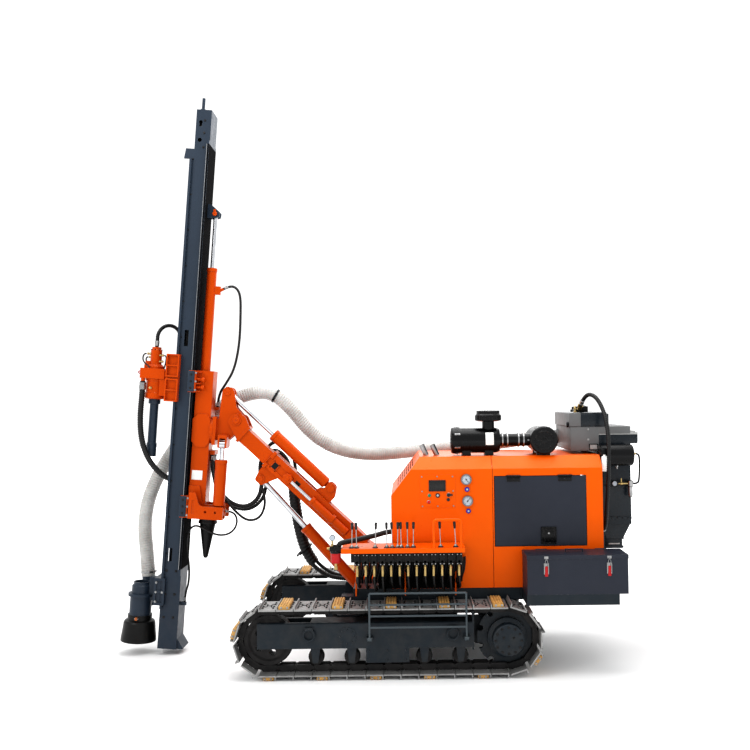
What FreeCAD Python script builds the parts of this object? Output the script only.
import FreeCAD, Part
import math
import os

V = FreeCAD.Vector

# Machine frame, in mm: x runs from the mast to the engine end, y to the right-hand side seen
# from the operator's console, z up from the ground. The x zero lies between the tracks.

# Tracks
shoe_count = 37
shoe_pitch = 154.0
shoe_width = 350.0
shoe_thick = 13.0
shoe_gap = 5.0
grouser_height = 26.0
grouser_thick = 11.0
pad_every = 3
pad_length = 94.0
pad_height = 35.0
link_height = 56.0
link_width = 34.0
link_spacing = 46.0
bushing_r = 14.0
sprocket_teeth = 10
track_gauge = 1600.0
sprocket_x = 1025.0
roller_count = 5
roller_r = 62.0
roller_axle_r = 18.0
roller_spacing = 315.0
running_gap = 0.3
guide_gap = 0.5

pin_line_r = sprocket_teeth * shoe_pitch / (2 * math.pi)
link_inner_r = pin_line_r - link_height / 2
link_outer_r = pin_line_r + link_height / 2
wheel_z = link_outer_r + shoe_thick + pad_height
wheel_base = (shoe_count * shoe_pitch - 2 * math.pi * pin_line_r) / 2
idler_x = sprocket_x - wheel_base
track_mid_x = (sprocket_x + idler_x) / 2
chain_width = link_spacing + 2 * link_width
chain_floor_z = wheel_z - link_inner_r

# Undercarriage
side_frame_x0 = -1148.0
side_frame_x1 = 718.0
side_frame_z0 = 261.0
side_frame_z1 = 478.0
side_frame_width = 250.0
side_frame_wall = 12.0
hub_back = 118.0
idler_slot = 150.0
idler_slot_x1 = -690.0
cross_beam_size = 190.0
cross_beam_x = (-380.0, 420.0)

# Main frame
hood_x1 = 1930.0
deck_x0 = -330.0
deck_x1 = hood_x1 + 60.0
deck_half_width = 600.0
deck_z0 = 592.0
deck_z1 = 705.0
deck_plate = 14.0
deck_rail_y = 330.0
bracket_plate = 24.0
bracket_notch_x = -144.0
skirt_wall = 10.0

# Toolbox on the left-hand side, and its platform
platform_x0 = 1190.0
toolbox_x0 = platform_x0 + 5.0
toolbox_x1 = deck_x1 + 78.0
toolbox_y0 = 626.0
toolbox_out = 945.0
toolbox_z1 = 1042.0
toolbox_wall = 6.0
lid_height = 34.0
lid_knuckle_r = 5.5
grip_x = (1555.0, 1705.0)
grip_y = -790.0
grip_height = 26.0
grip_r = 6.0

# Hood, which runs from hood_x0 to hood_x1
hood_x0 = 20.0
hood_seam_x = 935.0
hood_half_width = 620.0
hood_roof_half = 500.0
hood_side_z = 1770.0
hood_roof_z = 1878.0
hood_nose_z = 1537.0
hood_nose_x = 285.0
hood_wall = 15.0
seam_gap = 4.0
door_x0 = hood_seam_x + 20.0
door_x1 = hood_x1 - 152.0
door_z0 = 1075.0
door_z1 = 1700.0
door_gap = 5.0
door_hinge_r = 9.0
door_hinge_x = (door_x0 + 170.0, door_x1 - 188.0)
door_hinge_half = 60.0

# Equipment in and on the hood
engine_x0 = 900.0
engine_gap = 35.0
engine_width = 620.0
engine_height = 760.0
filter_y = -350.0
filter_r = 121.0
filter_z = 2016.0
exhaust_x = (352.0, 452.0)
exhaust_y = -300.0
exhaust_r = 26.0
exhaust_wall = 4.0

# Dust collector behind the hood
collector_x = hood_x1 + 16.0
dust_x1 = collector_x + 384.0
collector_y0 = -330.0
collector_y1 = 470.0
collector_z0 = 980.0

# Console along the hood's left side
console_x0 = -411.0
console_x1 = 660.0
console_y0 = -955.0
console_y1 = -640.0
console_z = 1118.0
console_plate = 8.0
hoop_x = (392.0, 628.0)
hoop_r = 11.0
hoop_bend_r = 26.0
hoop_height = 241.0
valve_count = 13
valve_pitch = 74.0
lever_x = (-321, -279, -117, -16, 31, 78, 110, 165, 214, 452, 584)
lever_height = 190.0
lever_r = 5.0

# Mast, in its own frame: u across its depth towards the machine, w along it from the foot
mast_lean = 4.15
mast_foot_x = -2140.0
mast_foot_z = 60.0
mast_depth = 180.0
mast_width = 260.0
mast_height = 5185.0
mast_wall = 10.0
mast_shoulder_drop = 425.0
mast_shoulder_step = 34.0
rail_width = 26.0
rail_depth = 22.0
head_offset = 310.0
chain_wheel_r = 28.0
chain_thick = 24.0
chain_band = 44.0
chain_low_w = 190.0
chain_top_drop = 165.0

# Column that the mast slides on
column_gap = 14.0
column_depth = 162.0
column_width = 180.0
column_wall = 12.0
column_foot = 142.0
column_head = 213.0
clamp_height = 208.0
clamp_w = (1258.0, 2452.0)
hub_w = 2090.0
hub_r = 125.0
hub_gap = 26.0
hub_plate_down = 158.0
hub_plate_up = 160.0
foot_u = 465.0
foot_top_w = 1386.0
foot_plate = 22.0
boot_u = 285.0
boot_r = 84.0
boot_length = 400.0
swing_side_y = -160.0
mast_ram_u = 165.0
mast_ram_drop = 325.0
mast_ram_eye_w = 4197.0
mast_port_up = 1112.0
hose_clip_drop = 345.0

mast_shoulder_w = mast_height - mast_shoulder_drop
chain_top_w = mast_height - chain_top_drop
column_w0 = clamp_w[0] + column_foot
column_w1 = clamp_w[1] + column_head
mast_ram_w = column_w1 - mast_ram_drop
mast_port_w = mast_ram_w + mast_port_up
hose_clip_w = column_w1 - hose_clip_drop

# Boom, in its own frame: s runs back from the pivot's head side, t square to it and up
boom_angle = 43.25
boom_pivot_x = -218.0
boom_pivot_z = 964.0
boom_length = 1773.0
outer_height = 160.0
outer_width = 176.0
outer_wall = 9.0
outer_front = 1300.0
slide_gap = 0.4
inner_wall = 10.0
inner_tail = 480.0
pin_r = 26.0
ear_pin_t = 57.0
side_clear = 6.0

# Folding step on the left side frame
step_x0 = -171.0
step_x1 = 662.0
step_z0 = 452.0
step_z1 = 742.0
step_out = 67.0
step_y = -(track_gauge / 2 + side_frame_width / 2 + step_out)
step_hinge_z = 352.0
step_knuckle = 18.0
step_knuckle_r = 16.0
step_pin_r = 7.0

# Drill head on its sled, and the dust hood, in the mast's frame
sled_w = 2352.0
sled_height = 452.0
sled_split = 18.0
sled_rib = 12.0
sled_rib_out = 34.0
head_face_w = 2364.0
rod_foot_w = 1809.0
hood_bore_r = 66.0
pot_r = 102.0
pot_flange_r = 108.0
pot_foot_w = 240.0
skirt_r = 167.0
skirt_w = 36.0

# Travel of the inner boom in the outer one
extend_travel = 220.0


def box(x0, x1, y0, y1, z0, z1):
    return Part.makeBox(x1 - x0, y1 - y0, z1 - z0, V(x0, y0, z0))


def cyl(radius, start, end):
    along = V(*end).sub(V(*start))
    return Part.makeCylinder(radius, along.Length, V(*start), along)


def cone(r0, r1, start, end):
    along = V(*end).sub(V(*start))
    return Part.makeCone(r0, r1, along.Length, V(*start), along)


def pin(radius, x, z, reach):
    """Round bar across the machine, as far to the left as to the right."""
    return cyl(radius, (x, -reach, z), (x, reach, z))


def tube(radius, bore, start, end):
    return cyl(radius, start, end).cut(cyl(bore, start, end))


def fuse(shapes):
    shapes = list(shapes)
    return shapes[0].multiFuse(shapes[1:]).removeSplitter()


def both_sides(shape):
    return [shape, shape.mirror(V(0, 0, 0), V(0, 1, 0))]


def outline(points):
    """Closed wire in the xz plane; a third number in a point is its corner radius."""
    corners = []
    for i, point in enumerate(points):
        here = V(point[0], 0, point[1])
        if len(point) < 3:
            corners.append((here, here, here))
            continue
        before = V(points[i - 1][0], 0, points[i - 1][1]).sub(here).normalize()
        following = points[(i + 1) % len(points)]
        after = V(following[0], 0, following[1]).sub(here).normalize()
        half = before.getAngle(after) / 2
        reach = point[2] / math.tan(half)
        inward = before.add(after).normalize()
        centre = here.add(inward * (point[2] / math.sin(half)))
        corners.append((here.add(before * reach), centre.sub(inward * point[2]), here.add(after * reach)))
    edges = []
    for i, (start, middle, end) in enumerate(corners):
        if start.distanceToPoint(end) > 1e-6:
            edges.append(Part.Arc(start, middle, end).toShape())
        nxt = corners[(i + 1) % len(corners)][0]
        if end.distanceToPoint(nxt) > 1e-6:
            edges.append(Part.LineSegment(end, nxt).toShape())
    return Part.Wire(edges)


def plate(points, y0, y1):
    """Prism across the machine from an outline in x and z."""
    face = Part.Face(outline(points))
    face.translate(V(0, y0, 0))
    return face.extrude(V(0, y1 - y0, 0))


def girder(points, x0, x1):
    """Prism along the machine from an outline in y and z."""
    solid = plate(points, 0, x1 - x0)
    solid.rotate(V(0, 0, 0), V(0, 0, 1), 90)
    solid = solid.mirror(V(0, 0, 0), V(1, 0, 0))
    solid.translate(V(x0, 0, 0))
    return solid


def turned(profile, start, axis):
    """Body of revolution about an axis, from pairs of radius and distance along it."""
    points = [V(r, 0, h) for r, h in profile]
    points.append(points[0])
    solid = Part.Face(Part.makePolygon(points)).revolve(V(0, 0, 0), V(0, 0, 1), 360)
    solid.Placement = FreeCAD.Placement(V(*start), FreeCAD.Rotation(V(0, 0, 1), V(*axis)))
    return solid


MAST = FreeCAD.Placement(V(mast_foot_x, 0, mast_foot_z), FreeCAD.Rotation(V(0, 1, 0), mast_lean))
BOOM = FreeCAD.Placement(V(boom_pivot_x, 0, boom_pivot_z), FreeCAD.Rotation(V(0, 1, 0), boom_angle))


def placed(shape, frame):
    shape = shape.copy()
    shape.Placement = frame.multiply(shape.Placement)
    return shape


def on_mast(u, y, w):
    return MAST.multVec(V(u, y, w))


def on_boom(s, y, t):
    """Point in the boom's frame: s is the distance from the pivot towards the head."""
    return BOOM.multVec(V(-s, y, t))


# Places that several pieces share
column_front_u = mast_depth / 2 + column_gap
column_rear_u = column_front_u + column_depth
bracket_front_u = column_rear_u + hub_gap
ear_pin = on_boom(boom_length, 0, ear_pin_t)
tilt_eye = on_mast(408, 0, 2468)
tilt_base = on_boom(661, 0, 189)
lift_eye = on_boom(1222, 0, -200)
lift_base = V(-265, 0, 560)
swing_base = on_mast(410, swing_side_y, 1330)
swing_eye = on_mast(410, swing_side_y, 1968)
mast_ram_base = on_mast(mast_ram_u, 0, mast_ram_w)
mast_ram_eye = on_mast(mast_ram_u, 0, mast_ram_eye_w)
extend_y = -outer_width / 2 - 52
extend_base = on_boom(215, extend_y, -8)
extend_eye = on_boom(1028, extend_y, -8)

# Rams, each with: bore, wall, rod radius, barrel length, eye radius, eye width, how far the rod
# goes in and out from rest
RAMS = {
    "lift": (46.0, 9.0, 27.0, 840.0, 46.0, 60.0, 560.0, 60.0),
    "tilt": (47.0, 9.0, 25.0, 765.0, 44.0, 60.0, 330.0, 60.0),
    "swing": (46.0, 10.0, 22.0, 495.0, 38.0, 50.0, 60.0, 80.0),
    "mast": (38.0, 9.0, 20.0, 1330.0, 34.0, 46.0, 420.0, 470.0),
    "extend": (30.0, 8.0, 16.0, 515.0, 30.0, 34.0, 20.0, 230.0),
}


def ram(name, base, eye, pin_axis):
    """Barrel and rod of one hydraulic ram, lying from its base pin to its eye."""
    bore, wall, rod_r, barrel_length, eye_r, eye_w, goes_in, goes_out = RAMS[name]
    length = base.distanceToPoint(eye)
    along = eye.sub(base).normalize()
    side = V(*pin_axis)
    frame = FreeCAD.Placement(base, FreeCAD.Rotation(along.cross(side) * -1, side, along, "ZYX"))
    outer = bore + wall
    neck_r = eye_w / 2 - 1
    cap = eye_r + 14
    gland = 34.0
    barrel = fuse([
        cyl(eye_r, (0, -eye_w / 2, 0), (0, eye_w / 2, 0)),
        cyl(neck_r, (0, 0, 0), (0, 0, cap + 2)),
        cone(neck_r, outer, (0, 0, cap), (0, 0, cap + 12)),
        cyl(outer, (0, 0, cap + 12), (0, 0, barrel_length)),
        cyl(outer + 4, (0, 0, barrel_length - gland), (0, 0, barrel_length - 4)),
    ])
    barrel = barrel.cut(cyl(bore, (0, 0, cap + 26), (0, 0, barrel_length - gland)))
    gland_bore = cyl(rod_r + running_gap, (0, 0, barrel_length - gland - 1), (0, 0, barrel_length + 1))
    barrel = barrel.cut(gland_bore).cut(pin(pin_r_of(name) + running_gap, 0, 0, eye_w))
    piston_top = barrel_length - gland - goes_out - 12
    piston_low = max(piston_top - 45, cap + 30)
    rod = fuse([
        cyl(bore - running_gap, (0, 0, piston_low), (0, 0, piston_top)),
        cyl(rod_r, (0, 0, piston_low), (0, 0, length - eye_r * 0.5)),
        cyl(min(rod_r * 1.35, neck_r), (0, 0, length - eye_r - 26), (0, 0, length - eye_r * 0.5)),
        cyl(eye_r, (0, -eye_w / 2, length), (0, eye_w / 2, length)),
    ])
    return placed(barrel, frame), placed(rod, frame)


def pin_r_of(name):
    return RAMS[name][4] * 0.5


def save(name, shape):
    shape = shape.copy()
    shape.translate(V(origin_shift_x, 0, 0))
    if not shape.isValid():
        print("not valid:", name)
    shape.exportStep("parts/" + name + ".step")
    print(name, len(shape.Solids), round(shape.Volume / 1e6, 2))


# The part's origin is on the ground, under the middle of its length
front_end_x = on_mast(-head_offset - skirt_r, 0, skirt_w).x
origin_shift_x = -(front_end_x + dust_x1) / 2


def loop_point(distance, offset):
    """Point and outward direction on the track's pin line, at an offset outward from it."""
    straight = wheel_base
    arc = math.pi * pin_line_r
    distance %= 2 * (straight + arc)
    radius = pin_line_r + offset
    if distance < straight:
        return V(sprocket_x - distance, 0, wheel_z + radius), 90.0
    distance -= straight
    if distance < arc:
        angle = 90 + math.degrees(distance / pin_line_r)
        turn = math.radians(angle)
        return V(idler_x + radius * math.cos(turn), 0, wheel_z + radius * math.sin(turn)), angle
    distance -= arc
    if distance < straight:
        return V(idler_x + distance, 0, wheel_z - radius), 270.0
    distance -= straight
    angle = 270 + math.degrees(distance / pin_line_r)
    turn = math.radians(angle)
    return V(sprocket_x + radius * math.cos(turn), 0, wheel_z + radius * math.sin(turn)), angle


def stadium(radius):
    return [
        (idler_x - radius, wheel_z + radius, radius - 0.01),
        (sprocket_x + radius, wheel_z + radius, radius - 0.01),
        (sprocket_x + radius, wheel_z - radius, radius - 0.01),
        (idler_x - radius, wheel_z - radius, radius - 0.01),
    ]


def track(mid_y):
    """One closed track: two rows of links, bushings between them, shoes and every third one's pad."""
    inner_y = link_spacing / 2
    outer_y = chain_width / 2
    row = plate(stadium(link_outer_r + 1), inner_y, outer_y)
    row = row.cut(plate(stadium(link_inner_r), inner_y - 1, outer_y + 1))
    pieces = both_sides(row)
    half = shoe_pitch / 2 - shoe_gap / 2
    base_z = link_height / 2
    for i in range(shoe_count):
        place, angle = loop_point((i + 0.5) * shoe_pitch, 0)
        frame = FreeCAD.Placement(place, FreeCAD.Rotation(V(0, 1, 0), 90 - angle))
        profile = [
            (-half, base_z), (half, base_z), (half, base_z + shoe_thick),
            (-half + grouser_thick, base_z + shoe_thick),
            (-half + grouser_thick, base_z + shoe_thick + grouser_height),
            (-half, base_z + shoe_thick + grouser_height),
        ]
        shoe = plate(profile, -shoe_width / 2, shoe_width / 2)
        if i % pad_every == 0 and i + pad_every <= shoe_count:
            pad_x0 = -half + grouser_thick + 8
            pad = box(pad_x0, pad_x0 + pad_length, -shoe_width / 2, shoe_width / 2,
                      base_z + shoe_thick - 1, base_z + shoe_thick + pad_height)
            shoe = fuse([shoe, pad])
        pieces.append(placed(shoe, frame))
        joint, angle = loop_point(i * shoe_pitch, 0)
        turns = [math.radians(a) for a in range(30, 391, 60)]
        bushing = Part.makePolygon([
            joint + V(bushing_r * math.cos(turn), 0, bushing_r * math.sin(turn)) for turn in turns
        ])
        bushing = Part.Face(bushing)
        bushing.translate(V(0, -inner_y - 1, 0))
        pieces.append(bushing.extrude(V(0, 2 * inner_y + 2, 0)))
    loop = fuse(pieces)
    loop.translate(V(0, mid_y, 0))
    return loop


def sprocket(side):
    """Toothed drive ring with its hub gearbox, which stands out to the track's outer face."""
    mid_y = side * track_gauge / 2
    disc_half = link_spacing / 2 - 6
    tip_r = link_outer_r - 10
    disc = cyl(tip_r, (sprocket_x, mid_y - disc_half, wheel_z), (sprocket_x, mid_y + disc_half, wheel_z))
    gaps = []
    for i in range(sprocket_teeth):
        turn = math.radians(90) + i * 2 * math.pi / sprocket_teeth
        reach = pin_line_r + 26
        spot = V(sprocket_x + pin_line_r * math.cos(turn), 0, wheel_z + pin_line_r * math.sin(turn))
        edge = V(sprocket_x + reach * math.cos(turn), 0, wheel_z + reach * math.sin(turn))
        for place in (spot, edge):
            gaps.append(cyl(bushing_r + 12, (place.x, mid_y - 40, place.z), (place.x, mid_y + 40, place.z)))
    disc = disc.cut(fuse(gaps))
    outward = (0, side, 0)
    hub = turned([(0, -hub_back), (150, -hub_back), (150, -60), (172, -40), (172, -disc_half),
                  (172, disc_half), (172, 62), (137, 78), (137, 158), (128, 166), (0, 166)],
                 (sprocket_x, mid_y, wheel_z), outward)
    return fuse([disc, hub])


def idler(side):
    mid_y = side * track_gauge / 2
    rim_r = link_inner_r - running_gap
    half = idler_slot / 2 - 8
    wheel = turned([(30, -half), (rim_r - 60, -half), (rim_r - 34, -half + 12), (rim_r, -half + 12),
                    (rim_r, half - 12), (rim_r - 34, half - 12), (rim_r - 60, half), (30, half)],
                   (idler_x, mid_y, wheel_z), (0, 1, 0))
    holes = []
    for i in range(5):
        turn = i * 2 * math.pi / 5
        place = V(idler_x + 105 * math.cos(turn), 0, wheel_z + 105 * math.sin(turn))
        holes.append(cyl(30, (place.x, mid_y - 90, place.z), (place.x, mid_y + 90, place.z)))
    axle = cyl(30, (idler_x, mid_y - idler_slot / 2 + running_gap, wheel_z),
               (idler_x, mid_y + idler_slot / 2 - running_gap, wheel_z))
    return fuse([wheel.cut(fuse(holes)), axle])


def roller(x, side):
    mid_y = side * track_gauge / 2
    z = chain_floor_z + roller_r + running_gap
    half = chain_width / 2
    flange_r = roller_r + 8
    core = link_spacing / 2 - 2
    body = turned([(0, -half), (roller_r, -half), (roller_r, -core), (flange_r, -core + 4),
                   (flange_r, core - 4), (roller_r, core), (roller_r, half), (0, half)],
                  (x, mid_y, z), (0, 1, 0))
    axle = cyl(roller_axle_r, (x, mid_y - half - 30, z), (x, mid_y + half + 30, z))
    return fuse([body, axle])


def roller_places():
    first = track_mid_x - roller_spacing * (roller_count - 1) / 2
    return [first + i * roller_spacing for i in range(roller_count)]


def side_frame(side):
    """Box beam inside one track, forked at its front round the idler."""
    mid_y = side * track_gauge / 2
    y0 = mid_y - side_frame_width / 2
    y1 = mid_y + side_frame_width / 2
    wall = side_frame_wall
    beam = girder([(y0, side_frame_z0), (y1, side_frame_z0), (y1, side_frame_z1, 16),
                   (y0, side_frame_z1, 16)], side_frame_x0, side_frame_x1)
    hollow = box(idler_slot_x1 + wall, side_frame_x1 - wall, y0 + wall, y1 - wall,
                 side_frame_z0 + wall, side_frame_z1 - wall)
    slot = box(side_frame_x0 - 1, idler_slot_x1, mid_y - idler_slot / 2, mid_y + idler_slot / 2,
               side_frame_z0 - 1, side_frame_z1 + 1)
    pieces = [beam.cut(hollow).cut(slot)]
    outer_y = side * (track_gauge / 2 + side_frame_width / 2)
    # Rear end plate, taller than the beam
    pieces.append(box(side_frame_x1 - 2, side_frame_x1 + 12, min(outer_y, outer_y - side * 62),
                      max(outer_y, outer_y - side * 62), 236, 566))
    # Roller brackets under the beam
    axle_z = chain_floor_z + roller_r + running_gap
    half = chain_width / 2
    for x in roller_places():
        for edge in (-1, 1):
            near = mid_y + edge * (half + 30 + running_gap)
            far = near + edge * 20
            pieces.append(plate([(x - 42, side_frame_z0 + 2), (x - 24, axle_z - 34, 10),
                                 (x + 24, axle_z - 34, 10), (x + 42, side_frame_z0 + 2)],
                                min(near, far), max(near, far)))
    # Guard under the middle of the beam, and the motor's mounting arm behind it
    y0, y1 = sorted((outer_y, outer_y - side * 14))
    pieces.append(box(-206, 168, y0, y1, 136, side_frame_z0 + 2))
    motor_face = mid_y - side * (hub_back + running_gap)
    y0, y1 = sorted((motor_face, motor_face - side * 18))
    pieces.append(plate([(side_frame_x1 - 60, side_frame_z0, 10), (sprocket_x, wheel_z - 160, 120),
                         (sprocket_x + 165, wheel_z, 120), (sprocket_x, wheel_z + 160, 120),
                         (side_frame_x1 - 60, side_frame_z1, 10)], y0, y1))
    return pieces


def ring_lug(x, z, side):
    """Tie-down ring welded on the side frame's outer face."""
    face = side * (track_gauge / 2 + side_frame_width / 2)
    rod_r = 9.0
    ring_r = 48.0
    out = face + side * (rod_r + 14)
    ring = Part.makeTorus(ring_r, rod_r, V(x, out, z - 20), V(0, 1, 0))
    lug = box(x - 34, x + 34, min(face - side, out + side * 4), max(face - side, out + side * 4),
              z + ring_r - 32, z + ring_r - 2)
    return [ring, lug]


def undercarriage():
    pieces = []
    for side in (-1, 1):
        pieces += side_frame(side)
        for x, z in ((-697, 400), (546, 400)):
            pieces += ring_lug(x, z, side)
        face = side * (track_gauge / 2 + side_frame_width / 2)
        pieces.append(cyl(80, (-368, face - side * 2, 362), (-368, face + side * 5, 362)))
    face = -(track_gauge / 2 + side_frame_width / 2)
    for x in (step_x0, step_x1):
        for sign in (-1, 1):
            x0, x1 = sorted((x + sign * (step_knuckle + guide_gap), x + sign * (step_knuckle + 9)))
            low_z, high_z = step_hinge_z - 18, step_hinge_z + 18
            pieces.append(box(x0, x1, step_y - step_knuckle_r, face + 2, low_z, high_z))
        pieces.append(cyl(step_pin_r, (x - step_knuckle - 2, step_y, step_hinge_z),
                          (x + step_knuckle + 2, step_y, step_hinge_z)))
    inner = track_gauge / 2 - side_frame_width / 2 + 4
    for x in cross_beam_x:
        half = cross_beam_size / 2
        pieces.append(box(x - half, x + half, -inner, inner, 300, 300 + cross_beam_size))
        for y in (-deck_rail_y, deck_rail_y):
            pieces.append(plate([(x - half, 300 + cross_beam_size - 2), (x + half, 300 + cross_beam_size - 2),
                                 (x + half - 20, deck_z0), (x - half + 20, deck_z0)], y - 60, y + 60))
    pieces.append(box(cross_beam_x[0], cross_beam_x[1], -170, -150, 320, 470))
    pieces.append(box(cross_beam_x[0], cross_beam_x[1], 150, 170, 320, 470))
    return fuse(pieces)


def main_frame():
    """Deck plate with a deep skirt all round, and the platform under the toolbox."""
    tray = box(deck_x0, deck_x1, -deck_half_width, deck_half_width, deck_z0, deck_z1)
    hollow = box(deck_x0 + skirt_wall, deck_x1 - skirt_wall, -deck_half_width + skirt_wall,
                 deck_half_width - skirt_wall, deck_z0 - 1, deck_z1 - deck_plate)
    pieces = [tray.cut(hollow)]
    for y in (-deck_rail_y, deck_rail_y):
        pieces.append(box(deck_x0 + 2, deck_x1 - 2, y - 50, y + 50, deck_z0, deck_z1 - 2))
    pieces.append(box(platform_x0, deck_x1, -toolbox_out, -deck_half_width + 2, deck_z0 + 20, deck_z1))
    notch_y = outer_width / 2 + side_clear + bracket_plate + 6
    notch = box(deck_x0 - 1, bracket_notch_x, -notch_y, notch_y, deck_z0 - 1, deck_z1 + 1)
    return fuse(pieces).cut(notch)


def toolbox():
    body = box(toolbox_x0, toolbox_x1, -toolbox_out, -toolbox_y0, deck_z1, toolbox_z1 - lid_height)
    hollow = box(toolbox_x0 + toolbox_wall, toolbox_x1 - toolbox_wall, -toolbox_out + toolbox_wall,
                 -toolbox_y0 - toolbox_wall, deck_z1 + toolbox_wall, toolbox_z1)
    return body.cut(hollow)


def toolbox_lid():
    """Lid over the toolbox's rim, with a grip on top and a knuckle at each end of its hinge line."""
    low_z = toolbox_z1 - lid_height
    lid = box(toolbox_x0 - 4, toolbox_x1 + 4, -toolbox_out - 4, -toolbox_y0, low_z + running_gap, toolbox_z1)
    hollow = box(toolbox_x0 + 4, toolbox_x1 - 4, -toolbox_out + 4, -toolbox_y0 - 8, low_z,
                 toolbox_z1 - toolbox_wall)
    pieces = [lid.cut(hollow)]
    top_z = toolbox_z1 + grip_height
    for x in grip_x:
        pieces.append(cyl(grip_r - 1, (x, grip_y, toolbox_z1 - 2), (x, grip_y, top_z)))
    pieces.append(cyl(grip_r, (grip_x[0] - grip_r, grip_y, top_z), (grip_x[1] + grip_r, grip_y, top_z)))
    for x in (toolbox_x0 + 120, toolbox_x1 - 220):
        pieces.append(cyl(lid_knuckle_r, (x, -toolbox_y0, toolbox_z1), (x + 100, -toolbox_y0, toolbox_z1)))
    return fuse(pieces)


def hood_shell(grow):
    """Solid form of the whole hood, drawn in by a wall thickness; its slanted faces draw in less."""
    slant = grow * 0.4
    foot_z = deck_z1 - 1 if grow else deck_z1
    side = plate([(hood_x0 + grow, foot_z), (hood_x1 - grow, foot_z), (hood_x1 - grow, hood_roof_z - grow),
                  (hood_nose_x + slant, hood_roof_z - grow), (hood_x0 + grow, hood_nose_z - slant)],
                 -hood_half_width, hood_half_width)
    edge_y = hood_half_width - grow
    roof_y = hood_roof_half - slant
    edge_z = hood_side_z - slant
    roof_z = hood_roof_z - grow
    across = girder([(-edge_y, deck_z1 - 2), (edge_y, deck_z1 - 2), (edge_y, edge_z), (roof_y, roof_z),
                     (-roof_y, roof_z), (-edge_y, edge_z)], hood_x0 - 10, hood_x1 + 10)
    return side.common(across)


def hood():
    """Front and rear halves of the hood, each a panelled shell open to the deck below."""
    shell = hood_shell(0).cut(hood_shell(hood_wall))
    past_y = hood_half_width + 80
    past_z = hood_roof_z + 100
    front = shell.common(box(hood_x0 - 5, hood_seam_x, -past_y, past_y, deck_z1 - 5, past_z))
    rear = shell.common(box(hood_seam_x + seam_gap, hood_x1 + 5, -past_y, past_y, deck_z1 - 5, past_z))
    rear = rear.cut(box(door_x0 - door_gap, door_x1 + door_gap, -past_y, past_y, door_z0 - door_gap,
                        door_z1 + door_gap))
    # Louvres in the slanted nose
    slope = math.degrees(math.atan2(hood_roof_z - hood_nose_z, hood_nose_x - hood_x0))
    nose = FreeCAD.Placement(V(hood_x0, 0, hood_nose_z), FreeCAD.Rotation(V(0, 1, 0), -slope))
    slots = []
    for bank in (-1, 0, 1):
        for i in range(8):
            x = 95 + i * 32
            slots.append(placed(box(x, x + 14, bank * 330 - 140, bank * 330 + 140, -40, 40), nose))
    front = front.cut(Part.Compound(slots))
    # Radiator opening with bars in the rear wall
    bars = []
    for i in range(14):
        z = 860 + i * 62
        bars.append(box(hood_x1 - 40, hood_x1 + 10, -430, 430, z, z + 34))
    rear = rear.cut(Part.Compound(bars))
    return front, rear


def door(side):
    y_out = side * hood_half_width
    y_in = side * (hood_half_width - hood_wall)
    panel = box(door_x0, door_x1, min(y_in, y_out), max(y_in, y_out), door_z0, door_z1)
    pieces = [panel]
    hinge_y = side * (hood_half_width + door_hinge_r + running_gap)
    for x in door_hinge_x:
        x0, x1 = x - door_hinge_half, x + door_hinge_half
        pieces.append(cyl(door_hinge_r, (x0, hinge_y, door_z1 + 2), (x1, hinge_y, door_z1 + 2)))
        leaf = side * (hood_half_width + 4)
        y0, y1 = sorted((y_out - side, leaf))
        pieces.append(box(x0, x1, y0, y1, door_z1 - 44, door_z1 + 4))
    latch = side * (hood_half_width + 12)
    latch_x = (door_x0 + door_x1) / 2 + 5.5
    pieces.append(box(latch_x, latch_x + 128, min(y_out - side, latch), max(y_out - side, latch),
                      door_z0 + 21, door_z0 + 165))
    return fuse(pieces)


def boom_base():
    """Twin-plate bracket on the deck's front that carries the boom and its lift ram."""
    inner = outer_width / 2 + side_clear
    pieces = []
    for sign in (-1, 1):
        y0 = min(sign * inner, sign * (inner + bracket_plate))
        y1 = y0 + bracket_plate
        pieces.append(plate([(-40, deck_z1), (-150, 960, 30), (boom_pivot_x + 20, boom_pivot_z + 95, 60),
                             (boom_pivot_x - 90, boom_pivot_z + 40, 60), (-330, deck_z1 + 60, 20),
                             (lift_base.x - 75, 560, 40), (lift_base.x - 20, 500, 40),
                             (lift_base.x + 70, 520, 30), (-150, deck_z0 - 6, 10), (-150, deck_z1)], y0, y1))
        boss = inner + bracket_plate + 14
        for spot in (V(boom_pivot_x, 0, boom_pivot_z), lift_base):
            pieces.append(cyl(50, (spot.x, sign * inner, spot.z), (spot.x, sign * boss, spot.z)))
    pieces.append(pin(pin_r, boom_pivot_x, boom_pivot_z, inner + 4))
    pieces.append(pin(pin_r_of("lift"), lift_base.x, lift_base.z, inner + 4))
    lift_half = RAMS["lift"][5] / 2 + 1
    for sign in (-1, 1):
        start = (lift_base.x, sign * lift_half, lift_base.z)
        end = (lift_base.x, sign * (inner + 2), lift_base.z)
        pieces.append(tube(42, pin_r_of("lift"), start, end))
    for sign in (-1, 1):
        y0, y1 = sorted((sign * (inner + bracket_plate - 2), sign * (inner + bracket_plate + 60)))
        pieces.append(box(-325, -60, y0, y1, deck_z1, deck_z1 + 16))
    return fuse(pieces)


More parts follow.
